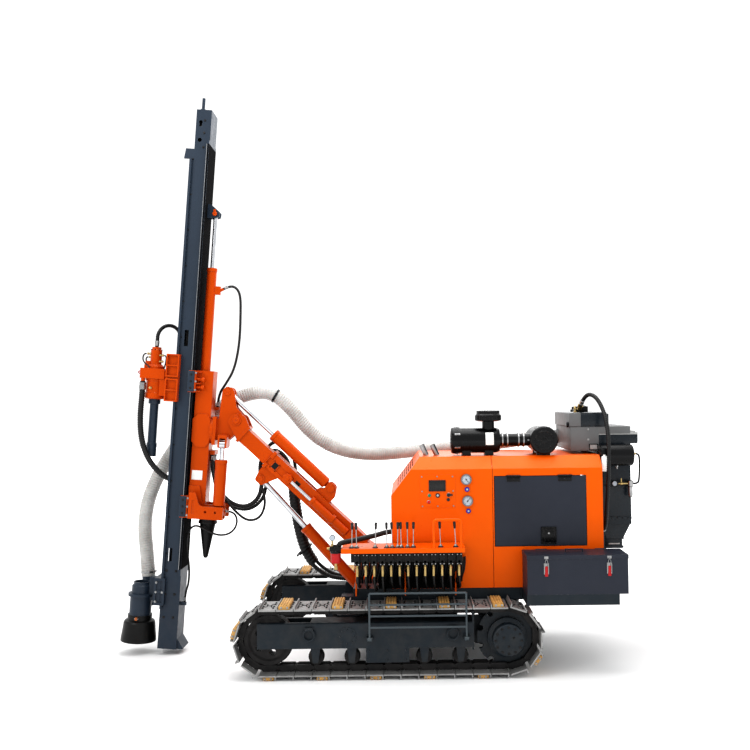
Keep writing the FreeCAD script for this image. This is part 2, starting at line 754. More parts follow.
def boom_outer():
    """Square outer boom: hollow for the inner one, slotted on top and on the left side."""
    half_h = outer_height / 2
    half_w = outer_width / 2
    tube_body = box(-outer_front, -60, -half_w, half_w, -half_h, half_h)
    hollow = box(-outer_front - 1, -150, -half_w + outer_wall, half_w - outer_wall,
                 -half_h + outer_wall, half_h - outer_wall)
    pieces = [tube_body.cut(hollow)]
    pieces.append(cyl(72, (0, -half_w, 0), (0, half_w, 0)))
    pieces.append(box(-70, 0, -half_w, half_w, -62, 62))
    collar = box(-outer_front, -outer_front + 34, -half_w - 12, half_w + 12, -half_h - 12, half_h + 12)
    pieces.append(collar.cut(hollow))
    eye_half = RAMS["lift"][5] / 2 + 2
    for sign in (-1, 1):
        y0 = min(sign * eye_half, sign * (eye_half + 22))
        pieces.append(plate([(-1290, -half_h + 4, 10), (-1288, -150, 20), (-1262, -246, 30),
                             (-1180, -246, 30), (-1100, -half_h + 4)], y0, y0 + 22))
        pieces.append(cyl(40, (-1222, sign * eye_half, -200), (-1222, sign * (eye_half + 34), -200)))
    base_half = RAMS["extend"][5] / 2 + 1
    barrel_r = RAMS["extend"][0] + RAMS["extend"][1]
    for y0, y1 in ((extend_y - base_half - 14, extend_y - base_half), (extend_y + base_half, -half_w + 2)):
        pieces.append(plate([(-255, -40, 10), (-255, 24, 10), (-172, 24, 10), (-172, -40, 10)], y0, y1))
    pieces.append(box(-184.5, -172, extend_y - base_half - 14, -half_w + 2, -38, 22))
    base_pin = pin(pin_r_of("extend"), -215, -8, base_half + 2)
    base_pin.translate(V(0, extend_y, 0))
    pieces.append(base_pin)
    ring_x = -470
    ring = fuse([cyl(barrel_r + 12, (ring_x, extend_y, -8), (ring_x + 30, extend_y, -8)),
                 box(ring_x, ring_x + 30, extend_y, -half_w + 2, -34, 18)])
    ring_bore = cyl(barrel_r + running_gap, (ring_x - 1, extend_y, -8), (ring_x + 31, extend_y, -8))
    pieces.append(ring.cut(ring_bore))
    body = fuse(pieces)
    top_slot = box(-770 - extend_travel - 20, -560, -62, 62, half_h - outer_wall - 1, half_h + 20)
    side_slot = box(-1028 - extend_travel - 45, -1028 + 45, -half_w - 30, -half_w + outer_wall + 1, -42, 26)
    bore = pin(pin_r + running_gap, 0, 0, half_w + 1)
    return placed(body.cut(top_slot).cut(side_slot).cut(bore), BOOM)


def boom_inner():
    """Inner boom with the head ears, the tilt ram's bracket and the extension ram's lug."""
    half_h = outer_height / 2 - outer_wall - slide_gap
    half_w = outer_width / 2 - outer_wall - slide_gap
    ear_root = boom_length - 150
    body = box(-ear_root, -inner_tail, -half_w, half_w, -half_h, half_h)
    hollow = box(-ear_root - 1, -inner_tail + 1, -half_w + inner_wall, half_w - inner_wall,
                 -half_h + inner_wall, half_h - inner_wall)
    pieces = [body.cut(hollow)]
    flange = box(-ear_root - 26, -ear_root, -half_w - 16, half_w + 16, -half_h - 14, half_h + 26)
    pieces.append(flange)
    for sign in (-1, 1):
        y0 = min(sign * (half_w - 14), sign * (half_w + 10))
        pieces.append(plate([(-ear_root, -half_h - 10, 8), (-ear_root, half_h + 22, 8),
                             (-boom_length + 30, ear_pin_t + 92, 60), (-boom_length - 70, ear_pin_t + 45, 60),
                             (-boom_length - 62, ear_pin_t - 60, 50)], y0, y0 + 24))
        pieces.append(cyl(46, (-boom_length, sign * (half_w + 8), ear_pin_t),
                          (-boom_length, sign * (half_w + 22), ear_pin_t)))
    pieces.append(pin(pin_r + 6, -boom_length, ear_pin_t, half_w + 12))
    base_half = RAMS["tilt"][5] / 2 + 1
    for sign in (-1, 1):
        y0 = min(sign * base_half, sign * (base_half + 18))
        pieces.append(plate([(-760, half_h - 2), (-745, 118, 10), (-712, 140, 10), (-712, 225, 20),
                             (-690, 240, 30), (-630, 240, 40), (-575, 150, 20), (-575, half_h - 2)],
                            y0, y0 + 18))
        pieces.append(cyl(36, (-661, sign * base_half, 189), (-661, sign * (base_half + 30), 189)))
    pieces.append(pin(pin_r_of("tilt"), -661, 189, base_half + 4))
    lug_in = -half_w + 2
    eye_half = RAMS["extend"][5] / 2 + 2
    for y0, y1 in ((extend_y + eye_half, lug_in), (extend_y - eye_half - 14, extend_y - eye_half)):
        pieces.append(plate([(-1066, -38, 10), (-1066, 22, 10), (-993, 22, 10), (-993, -38, 10)], y0, y1))
    pieces.append(box(-1066, -1059, extend_y - eye_half - 14, extend_y + eye_half + 2, -30, 14))
    return placed(fuse(pieces), BOOM)


def head_bracket():
    """Knuckle between boom and column: two lobed plates, a front plate and the hub spindle."""
    half = outer_width / 2 - outer_wall - slide_gap - 14 - side_clear
    front = bracket_front_u
    joint = MAST.inverse().multVec(ear_pin)
    gap = RAMS["tilt"][5] / 2 + 2
    pieces = []
    for sign in (-1, 1):
        y0 = min(sign * gap, sign * half)
        y1 = max(sign * gap, sign * half)
        pieces.append(plate([(front, 2003, 8), (front, 2185), (338, 2215, 20), (358, 2520, 52),
                             (462, 2520, 52), (500, 2330, 60), (590, 2240, 50), (560, 2125, 50),
                             (447, 2012, 20), (440, 2003)], y0, y1))
    pieces.append(box(front, front + 34, -118, 118, 1960, 2230))
    pieces.append(cyl(hub_r, (column_rear_u + running_gap, 0, hub_w), (front + 2, 0, hub_w)))
    pieces.append(box(front, front + 60, -gap - 2, gap + 2, 2010, 2180))
    # Clevis for the swing ram's eye on the left side
    eye = MAST.inverse().multVec(swing_eye)
    fork = RAMS["swing"][5] / 2 + 2
    for sign in (-1, 1):
        u0 = min(eye.x + sign * fork, eye.x + sign * (fork + 16))
        pieces.append(box(u0, u0 + 16, swing_side_y - 34, -half + 30, eye.z - 30, 2050))
    pieces.append(box(eye.x - fork - 16, eye.x + fork + 16, swing_side_y - 34, -half + 30, 2030, 2060))
    body = fuse(pieces)
    body = body.cut(pin(pin_r + 6 + running_gap, joint.x, joint.z, half + 5))
    return placed(body, MAST)


def slide_column():
    """Hollow column on the hub; its upper and lower clamps hold the mast's rear rails."""
    half = column_width / 2
    f, r = column_front_u, column_rear_u
    shell = box(f, r, -half, half, column_w0, column_w1)
    hollow = box(f + column_wall, r - column_wall, -half + column_wall, half - column_wall,
                 column_w0 + column_wall, column_w1 + 1)
    pieces = [shell.cut(hollow)]
    low, high = hub_w - hub_plate_down, hub_w + hub_plate_up
    for sign in (-1, 1):
        y0 = min(sign * (half - 1), sign * (half + 14))
        pieces.append(plate([(f - 8, low + 50), (f + 42, low), (r - 34, low), (r, low + 50), (r, high - 50),
                             (r - 34, high), (f + 42, high), (f - 8, high - 50)], y0, y0 + 15))
    for w0 in clamp_w:
        w1 = w0 + clamp_height
        reach = mast_width / 2 + rail_width + guide_gap + 14
        pieces.append(box(mast_depth / 2 + guide_gap, f + column_wall, -reach, reach, w0, w1))
        rail_edge = mast_width / 2 + rail_width + guide_gap
        lip_u = mast_depth / 2 - rail_depth - guide_gap
        for sign in (-1, 1):
            y0, y1 = sorted((sign * rail_edge, sign * (rail_edge + 14)))
            pieces.append(box(lip_u - 22, f, y0, y1, w0, w1))
            y0, y1 = sorted((sign * (mast_width / 2 + slide_gap), sign * (rail_edge + 1)))
            pieces.append(box(lip_u - 22, lip_u, y0, y1, w0, w1))
    # Foot that reaches out under the hub: inner plates, a floor, and an outer plate on the left
    foot_w = clamp_w[0]
    for sign in (-1, 1):
        y0 = min(sign * (half - 2), sign * (half + 20))
        pieces.append(plate([(f, foot_w), (f, foot_top_w + 174), (r - 60, foot_top_w + 174, 10),
                             (r - 20, foot_top_w, 60), (foot_u, foot_top_w, 8), (foot_u, foot_w, 8)],
                            y0, y0 + foot_plate))
    pieces.append(box(f, foot_u - 44, -half, half, foot_w, foot_w + 30))
    pieces.append(box(f, r, -half, half, foot_w, column_w0 + 2))
    base = MAST.inverse().multVec(swing_base)
    outer_y = swing_side_y - 56
    outer = plate([(f + 30, foot_w), (f + 30, foot_top_w + 120, 10), (r - 70, foot_top_w + 120, 10),
                   (r - 30, foot_top_w - 6, 50), (foot_u, foot_top_w - 6, 8), (foot_u, foot_w, 8)],
                  outer_y, outer_y + 12)
    holes = [cyl(12, (u, outer_y - 1, foot_w + 69), (u, outer_y + 13, foot_w + 69)) for u in (297, 391)]
    slot = box(f + 62, f + 84, outer_y - 1, outer_y + 5, foot_w + 50, foot_w + 175)
    pieces.append(outer.cut(fuse(holes + [slot])))
    pieces.append(box(f + 30, foot_u - 2, outer_y + 1, -half - 10, foot_w, foot_w + 12))
    pieces.append(box(f + 30, f + 42, outer_y + 1, -half - 10, foot_w, foot_top_w + 110))
    pieces.append(cyl(pin_r_of("swing"), (base.x - 50, base.y, base.z), (base.x + 50, base.y, base.z)))
    for sign in (-1, 1):
        u0 = min(base.x + sign * 27, base.x + sign * 47)
        pieces.append(box(u0, u0 + 20, outer_y + 1, -half - 10, base.z - 40, base.z + 40))
    # Mast ram's pin, and the blocks that the hoses leave from
    pieces.append(pin(pin_r_of("mast"), mast_ram_u, mast_ram_w, half - 4))
    pieces.append(box(r - 1, r + 50, -34, 124, 1860, 1900))
    pieces.append(box(r - 1, r + 42, 62, 98, hose_clip_w - 30, hose_clip_w))
    pieces.append(box(foot_u - 45, foot_u - 25, -half, half, foot_w + 17, foot_top_w - 6))
    body = fuse(pieces)
    return placed(body, MAST)


def column_boot():
    """Conical rubber boot hanging under the column's foot, below its collar."""
    top_w = clamp_w[0] - running_gap
    foot_w = clamp_w[0] - boot_length
    boot = turned([(0, foot_w), (14, foot_w + 4), (24, foot_w + 22), (boot_r - 8, top_w - 66),
                   (boot_r + 6, top_w - 62), (boot_r + 6, top_w - 42), (boot_r, top_w - 38), (boot_r, top_w),
                   (0, top_w)], (boot_u, 0, 0), (0, 0, 1))
    return placed(boot, MAST)


def mast_beam():
    """Channel beam: closed back with rails on its rear corners, open front with feed rails."""
    d = mast_depth / 2
    b = mast_width / 2
    t = mast_wall
    shell = box(-d, d, -b, b, 0, mast_height)
    hollow = box(-d + t, d - t, -b + t, b - t, 14, mast_height - 14)
    mouth = box(-d - 1, -d + t + 1, -b + 48, b - 48, 60, mast_height - 60)
    shoulder = box(-d - 1, -d + mast_shoulder_step, -b - 1, b + 1, mast_shoulder_w, mast_height + 1)
    body = shell.cut(hollow).cut(mouth).cut(shoulder)
    pieces = [body]
    front_plate = box(-d + mast_shoulder_step, -d + mast_shoulder_step + t, -b + 2, b - 2, mast_shoulder_w,
                      mast_height - 14)
    pieces.append(front_plate)
    for sign in (-1, 1):
        y0 = min(sign * (b - 2), sign * (b + rail_width))
        y1 = max(sign * (b - 2), sign * (b + rail_width))
        pieces.append(box(d - rail_depth, d, y0, y1, 700, mast_height - 300))
        pieces.append(box(-d, -d + rail_depth, y0, y1, 380, mast_shoulder_w - 60))
    ear_u = -d + mast_shoulder_step + 2
    ear = [(-d - 60, mast_shoulder_w - 57), (-d - 46, mast_shoulder_w + 40), (ear_u, mast_shoulder_w + 40),
           (ear_u, mast_shoulder_w - 57)]
    pieces.append(plate(ear, -b, -b + 26))
    pieces.append(plate(ear, b - 26, b))
    pieces.append(plate([(d - 2, 0), (d + 66, 0, 6), (d + 50, 22), (d - 2, 100)], -b + 20, b - 20))
    pieces.append(cone(26, 6, (-d + 26, 0, 2), (-d + 26, 0, -38)))
    # Clevis for the mast ram's rod on the back
    eye = MAST.inverse().multVec(mast_ram_eye)
    fork = RAMS["mast"][5] / 2 + 1
    for sign in (-1, 1):
        y0 = min(sign * fork, sign * (fork + 16))
        pieces.append(plate([(d - 2, eye.z - 41), (d - 2, eye.z + 93), (d + 30, eye.z + 93, 10),
                             (eye.x + 48, eye.z + 18, 16), (eye.x + 44, eye.z - 30, 16),
                             (eye.x - 20, eye.z - 41)], y0, y0 + 16))
    for sign in (-1, 1):
        pieces.append(cyl(pin_r_of("mast"), (eye.x, sign * fork, eye.z), (eye.x, sign * (fork + 28), eye.z)))
    # Hose anchors: inside the open front, and on the back near the foot
    pieces.append(box(40.3, d - t + 1, -b + t - 1, -26, 1560, 1622))
    pieces.append(box(d - 1, d + 54, -74, -46, 408, 440))
    # Chain tensioner on the top
    pieces.append(box(-56, 4, -60, 60, mast_height - 2, mast_height + 16))
    pieces.append(cyl(26, (-26, 0, mast_height + 14), (-26, 0, mast_height + 40)))
    pieces.append(cyl(15, (-26, 0, mast_height + 38), (-26, 0, mast_height + 150)))
    body = fuse(pieces)
    holes = [
        cyl(17, (-10, -b - 5, mast_height - 120), (-10, b + 5, mast_height - 120)),
        box(-22, 2, -b - 5, b + 5, mast_height - 165, mast_height - 123),
        cyl(20, (-10, -b - 5, mast_height - 295), (-10, b + 5, mast_height - 295)),
        box(-30, 8, -b - 5, b + 5, 2890, 3045),
        box(-44, -8, -b - 5, b + 5, 830, 955),
    ]
    body = body.cut(fuse(holes))
    return placed(body, MAST)


def race_track(half_depth, low_w, top_w, y0, y1):
    """Upright stadium between two wheel centres."""
    bar = box(-half_depth, half_depth, y0, y1, low_w, top_w)
    ends = [cyl(half_depth, (0, y0, w), (0, y1, w)) for w in (low_w, top_w)]
    return fuse([bar] + ends)


def feed_chain():
    """Feed chain: two strands inside the mast, round an idler at the top and a sprocket at the foot."""
    half = chain_wheel_r + chain_thick / 2
    loop = race_track(half, chain_low_w, chain_top_w, -chain_band / 2, chain_band / 2)
    loop = loop.cut(race_track(half - chain_thick, chain_low_w, chain_top_w, -chain_band, chain_band))
    pieces = [loop]
    reach = mast_width / 2 - mast_wall
    for w in (chain_low_w, chain_top_w):
        pieces.append(cyl(half - chain_thick + 1, (0, -chain_band / 2 + 4, w), (0, chain_band / 2 - 4, w)))
        pieces.append(cyl(16, (0, -reach, w), (0, reach, w)))
    return placed(fuse(pieces), MAST)


def head_sled():
    """Carriage on the mast's front rails, with two ribbed cheeks on each side."""
    d = mast_depth / 2
    b = mast_width / 2
    w0, w1 = sled_w, sled_w + sled_height
    cheek = (sled_height - sled_split) / 2
    y_in = b + rail_width + guide_gap
    y_out = y_in + 16
    front_u = -d - 78
    rear_u = -d + rail_depth + 22
    pieces = [box(-d - 62, -d - guide_gap, -y_out, y_out, w0 + 20, w1 - 20)]
    for sign in (-1, 1):
        y0, y1 = sorted((sign * y_in, sign * y_out))
        pieces.append(box(front_u, rear_u, y0, y1, w0, w1))
        y0, y1 = sorted((sign * (b + 4), sign * y_out))
        pieces.append(box(-d + rail_depth + guide_gap, rear_u, y0, y1, w0, w1))
        y0, y1 = sorted((sign * (y_out - 1), sign * (y_out + sled_rib_out + 1)))
        for low in (w0, w1 - cheek):
            for w in (low, low + cheek / 2 - sled_rib / 2, low + cheek - sled_rib):
                pieces.append(box(front_u, rear_u, y0, y1, w, w + sled_rib))
            for u in (front_u, rear_u - sled_rib):
                pieces.append(box(u, u + sled_rib, y0, y1, low, low + cheek))
    # Block on the far cheek that the motor's hose ends in
    pieces.append(box(front_u + 4, front_u + 54, y_out, y_out + 40, w1 - 2, w1 + 16))
    return placed(fuse(pieces), MAST)


def rotary_head():
    """Motor, gearbox and swivel housing of the drill head, bolted to the sled."""
    u = -head_offset
    back = -mast_depth / 2 - 62
    pieces = [
        turned([(0, head_face_w), (86, head_face_w), (98, 2376), (98, 2420), (90, 2430), (90, 2530),
                (100, 2544), (100, 2562), (0, 2562)], (u, 0, 0), (0, 0, 1)),
        box(u - 128, u + 108, -112, 112, 2560, 2658),
        turned([(0, 2656), (84, 2656), (84, 2680), (62, 2700), (54, 2702), (54, 2838), (44, 2850), (44, 2868),
                (0, 2868)], (u - 12, 0, 0), (0, 0, 1)),
        box(u + 60, back, -96, 96, 2400, 2640),
        cyl(34, (u - 80, 0, 2690), (u - 80, 0, 2730)),
        box(u - 112, u - 60, -40, 40, 2656, 2700),
        cyl(20, (u - 102, -84, 2530), (u - 102, -84, 2562)),
    ]
    return placed(fuse(pieces), MAST)


def drill_rod():
    u = -head_offset
    top_w = head_face_w - running_gap
    rod = turned([(0, rod_foot_w), (48, rod_foot_w), (48, rod_foot_w + 121), (41, rod_foot_w + 136),
                  (41, top_w - 48), (56, top_w - 46), (56, top_w), (0, top_w)], (u, 0, 0), (0, 0, 1))
    return placed(rod, MAST)


def suction_hood():
    """Dust hood round the drill rod: a collared pot on a sliding bracket, with a hose port."""
    u = -head_offset
    pot = turned([(hood_bore_r, pot_foot_w), (hood_bore_r, 598), (78, 598), (78, 574), (92, 560), (92, 492),
                  (122, 488), (122, 464), (pot_r, 460), (pot_r, 290), (pot_flange_r, 286),
                  (pot_flange_r, pot_foot_w)], (u, 0, 0), (0, 0, 1))
    port = fuse([
        cyl(62, (u, 0, 400), (-278, 175, 400)),
        cyl(62, (-278, 175, 338), (-278, 175, 470)),
        Part.makeSphere(62, V(-278, 175, 470)),
        cyl(62, (-278, 175, 470), (-300, 176, 620)),
    ])
    port = port.cut(cyl(hood_bore_r, (u, 0, 230), (u, 0, 610)))
    d = mast_depth / 2
    b = mast_width / 2
    pieces = [pot, port]
    pieces.append(box(u + 80, -d - 40, -40, 40, 430, 650).cut(cyl(hood_bore_r, (u, 0, 200), (u, 0, 700))))
    y_in = b + rail_width + guide_gap
    for sign in (-1, 1):
        y0, y1 = sorted((sign * (b + slide_gap), sign * (y_in + 14)))
        pieces.append(box(-d + rail_depth + guide_gap, -d + rail_depth + 20, y0, y1, 415, 671))
        y0, y1 = sorted((sign * y_in, sign * (y_in + 14)))
        frame = box(-d - 60, -d + rail_depth + 20, y0, y1, 415, 671)
        frame = frame.cut(box(-d - 40, -d + rail_depth, y0 - 1, y1 + 1, 440, 530))
        frame = frame.cut(box(-d - 40, -d + rail_depth, y0 - 1, y1 + 1, 556, 646))
        pieces.append(frame)
    pieces.append(box(-d - 60, -d - guide_gap, -y_in - 2, y_in + 2, 415, 671))
    body = fuse(pieces)
    return placed(body, MAST)


def hood_skirt():
    """Rubber skirt clamped round the pot's foot, open below."""
    u = -head_offset
    neck_r = pot_flange_r + running_gap
    seat_w = pot_foot_w - running_gap
    skirt = turned([(neck_r, pot_foot_w), (neck_r, 286), (neck_r + 6, 286), (neck_r + 6, 238), (138, 228),
                    (148, 212), (158, 120), (skirt_r - 2, 70), (skirt_r, skirt_w), (skirt_r - 8, skirt_w),
                    (skirt_r - 10, 70), (150, 120), (140, 208), (132, 219), (100, 231), (100, seat_w),
                    (neck_r, seat_w)], (u, 0, 0), (0, 0, 1))
    return placed(skirt, MAST)


def engine_block():
    x1 = hood_x1 - hood_wall - engine_gap
    return box(engine_x0, x1, -engine_width / 2, engine_width / 2, deck_z1, deck_z1 + engine_height)


def air_filters():
    """Two canister air cleaners on feet, the first along the machine, the second across it."""
    first = turned([(0, 582), (112, 582), (filter_r, 592), (filter_r, 640), (116, 644), (116, 1000),
                    (104, 1030), (0, 1034)], (0, filter_y, filter_z), (1, 0, 0))
    second_x = 1424.0
    second = turned([(0, -180), (116, -180), (128, -168), (128, -60), (121, -54), (121, 250), (0, 256)],
                    (second_x, filter_y, filter_z), (0, 1, 0))
    feet = []
    for x in (720, 930):
        feet.append(box(x - 40, x + 40, filter_y - 70, filter_y + 70, hood_roof_z, filter_z - 90))
    for y in (filter_y - 100, filter_y + 150):
        feet.append(box(second_x - 60, second_x + 60, y - 20, y + 20, hood_roof_z, filter_z - 90))
    link = cyl(58, (1030, filter_y, filter_z), (1310, filter_y, filter_z))
    clamps = []
    for x in (1050, 1096, 1200, 1246):
        clamps.append(tube(64, 50, (x, filter_y, filter_z), (x + 16, filter_y, filter_z)))
    neck = cyl(56, (930, filter_y, filter_z + 90), (930, filter_y, 2196))
    cap = turned([(0, 2192), (92, 2192), (120, 2200), (120, 2250), (108, 2262), (108, 2290), (0, 2298)],
                 (930, filter_y, 0), (0, 0, 1))
    return fuse([first, second, link, neck, cap] + feet + clamps)


def exhaust_pipes():
    pipes = []
    for x in exhaust_x:
        pipe = tube(exhaust_r, exhaust_r - exhaust_wall, (x, exhaust_y, hood_roof_z),
                    (x - 46, exhaust_y, hood_roof_z + 100))
        under_roof = box(x - 100, x + 100, exhaust_y - 50, exhaust_y + 50, hood_roof_z - 60, hood_roof_z)
        pipes.append(pipe.cut(under_roof))
    return Part.Compound(pipes)


def instruments():
    """Screen, two gauges and their knobs on the hood's left face."""
    y = -hood_half_width
    pieces = [box(362, 514, y - 12, y, 1574, 1674)]
    for x, z in ((700, 1677), (710, 1484)):
        pieces.append(cyl(49, (x, y, z), (x, y - 22, z)))
    for x, z in ((706, 1588), (716, 1394)):
        pieces.append(cyl(16, (x, y, z), (x, y - 30, z)))
    for x, z in ((366, 1537), (446, 1540), (528, 1542), (362, 1480)):
        pieces.append(cyl(13, (x, y, z), (x, y - 20, z)))
    return Part.Compound(pieces)


def console_frame():
    """Deck plate over the valves, its hoop, and the arms that carry it from the hood side."""
    pieces = [box(console_x0, console_x1, console_y0, console_y1, console_z - console_plate, console_z)]
    pieces.append(box(console_x0, console_x1, console_y0, console_y0 + 6, console_z - 40, console_z))
    for x in (-300, 140, 590):
        pieces.append(box(x - 6, x + 6, console_y1 - 40, console_y1 + 14, deck_z1 - 50, console_z - 4))
        pieces.append(box(x - 6, x + 6, console_y1 - 40, -deck_half_width, deck_z1 - 50, deck_z1 - 4))
    hoop = []
    y = console_y0 + 12
    top_z = console_z + hoop_height
    for x, inward, a0 in ((hoop_x[0], hoop_bend_r, 90), (hoop_x[1], -hoop_bend_r, 0)):
        hoop.append(cyl(hoop_r, (x, y, console_z - 2), (x, y, top_z - hoop_bend_r)))
        bend = Part.makeTorus(hoop_bend_r, hoop_r, V(0, 0, 0), V(0, 0, 1), -180, 180, 90)
        bend.rotate(V(0, 0, 0), V(0, 0, 1), a0)
        bend.rotate(V(0, 0, 0), V(1, 0, 0), 90)
        bend.translate(V(x + inward, y, top_z - hoop_bend_r))
        hoop.append(bend)
    hoop.append(cyl(hoop_r, (hoop_x[0] + hoop_bend_r, y, top_z), (hoop_x[1] - hoop_bend_r, y, top_z)))
    return fuse(pieces + hoop)


def valve_bank():
    """Row of spool valves under the deck plate, with their fittings below."""
    top = console_z - 40
    pieces = [box(-330, 640, -905, -700, top - 85, top)]
    for i in range(valve_count):
        x = -300 + i * valve_pitch
        pieces.append(box(x, x + 46, -930, -903, top - 110, top - 6))
        pieces.append(cyl(15, (x + 23, -880, top - 150), (x + 23, -880, top - 83)))
        pieces.append(cyl(15, (x + 23, -790, top - 140), (x + 23, -790, top - 83)))
    for x in (-250, 560):
        pieces.append(box(x, x + 40, -780, -720, top - 2, console_z - 8))
    return fuse(pieces)


def control_levers():
    levers = []
    y = console_y0 + 60
    for x in lever_x:
        stick = cyl(lever_r, (x, y, console_z), (x, y, console_z + lever_height))
        knob = turned([(0, lever_height - 30), (11, lever_height - 30), (15, lever_height - 10),
                       (11, lever_height + 30), (0, lever_height + 30)], (x, y, console_z), (0, 0, 1))
        boot = cone(24, 10, (x, y, console_z), (x, y, console_z + 24))
        levers.append(fuse([stick, knob, boot]))
    return Part.Compound(levers)


def lubricator():
    """Air line lubricator at the console's front end, on a bracket from the deck plate."""
    x, y = -460.0, -900.0
    pieces = [
        turned([(0, 990), (38, 990), (46, 1004), (46, 1100), (30, 1110), (30, 1150), (0, 1150)],
               (x, y, 0), (0, 0, 1)),
        box(x - 52, x + 48, y - 40, y + 40, 1096, 1136),
        box(x, console_x0 - running_gap, y - 20, y + 20, 1094, 1112),
        cyl(10, (x - 30, y, 1134), (x - 30, y, 1190)),
        cyl(26, (x - 30, y - 12, 1210), (x - 30, y + 14, 1210)),
        cyl(16, (x, y, 930), (x, y, 992)),
    ]
    return fuse(pieces)


def dust_collector():
    """Filter housing at the rear: tray, main box over the roof, side box, drop box and hopper."""
    x, y0, y1 = collector_x, collector_y0, collector_y1
    drop_z = 1216.0
    pieces = [
        box(x - 246, x + 316, y0, y1, 1905, 2130),
        plate([(x - 256, 2128), (x + 114, 2128), (x + 114, 2262), (x - 266, 2262)], y0 - 6, y1),
        box(x + 4, dust_x1, y0 + 6, y1, 1968, 2086),
        box(x, x + 316, y0 + 14, y1 - 60, drop_z - 2, 1920),
        plate([(x + 44, drop_z), (x + 316, drop_z), (x + 244, drop_z - 136), (x + 84, drop_z - 136)],
              y0 + 60, y1 - 160),
        box(x + 84, x + 242, y0 + 90, y1 - 200, collector_z0, drop_z - 132),
        cyl(24, (x - 106, -40, 2290), (x - 96, -75, 2330)),
        box(x - 136, x - 16, -30, 90, 2255, 2330),
        cyl(64, (x - 305.4, 399.84, 2012.03), (x - 228.9, 379, 2016.2)),
        box(x, x + 74, y0 + 60, y1 - 120, collector_z0, drop_z),
        box(x, x + 44, -250, 250, deck_z1, drop_z),
    ]
    return fuse(pieces)


def dust_drum():
    """Horizontal tank beside the collector, on its bracket."""
    drum = turned([(0, -4), (88, -4), (97, 6), (97, 290), (88, 300), (0, 300)],
                  (collector_x, -445, 1868), (1, 0, 0))
    bracket = box(collector_x + 34, collector_x + 214, -420, collector_y0 + 14 - running_gap, 1800, 1900)
    return fuse([drum, bracket])


def side_step():
    """Folding step: a bent tube frame with rungs, hinged at its foot on the side frame."""
    r = 9.0
    pieces = []
    for x in (step_x0, step_x1):
        pieces.append(cyl(r, (x, step_y, step_hinge_z), (x, step_y, step_z1)))
        pieces.append(cyl(step_knuckle_r, (x - step_knuckle, step_y, step_hinge_z),
                          (x + step_knuckle, step_y, step_hinge_z)))
    for z in (step_z0, step_z0 + 97, step_z0 + 193, step_z1):
        pieces.append(cyl(r, (step_x0, step_y, z), (step_x1, step_y, z)))
    bore = cyl(step_pin_r + running_gap, (step_x0 - 50, step_y, step_hinge_z),
               (step_x1 + 50, step_y, step_hinge_z))
    return fuse(pieces).cut(bore)


def hose_path(points):
    """Straight runs joined by tangent arcs, each as large as its two runs allow."""
    points = [V(*p) for p in points]
    edges = []
    radii = []
    start = points[0]
    for before, here, after in zip(points, points[1:], points[2:]):
        back = before.sub(here)
        ahead = after.sub(here)
        turn = math.pi - back.getAngle(ahead)
        reach = 0.45 * min(back.Length, ahead.Length)
        radius = reach / math.tan(turn / 2)
        radii.append(radius)
        a = here.add(V(back).normalize() * reach)
        b = here.add(V(ahead).normalize() * reach)
        inward = V(back).normalize().add(V(ahead).normalize()).normalize()
        middle = here.add(inward * (radius / math.cos(turn / 2) - radius))
        edges.append(Part.LineSegment(start, a).toShape())
        edges.append(Part.Arc(a, middle, b).toShape())
        start = b
    edges.append(Part.LineSegment(start, points[-1]).toShape())
    return Part.Wire(edges), radii


def hose(name, points, diameter):
    path, radii = hose_path(points)
    first = V(*points[1]).sub(V(*points[0]))
    ring = Part.Wire([Part.makeCircle(diameter / 2, V(*points[0]), first)])
    solid = path.makePipeShell([ring], True, False)
    expected = math.pi * (diameter / 2) ** 2 * path.Length
    print(name, "length", round(path.Length), "least radius", round(min(radii)), "volume ratio",
          round(solid.Volume / expected, 4))
    return solid


def mast_port():
    """Port block and angled fitting on the back of the mast ram's barrel."""
    w = mast_port_w
    block = box(203, 262, -20, 20, w - 39, w + 43)
    fitting = cyl(14, (250, 0, w), (290, 0, w + 23))
    return placed(fuse([block, fitting]), MAST)


def mast_route(points):
    return [on_mast(u, y, w) for u, y, w in points]


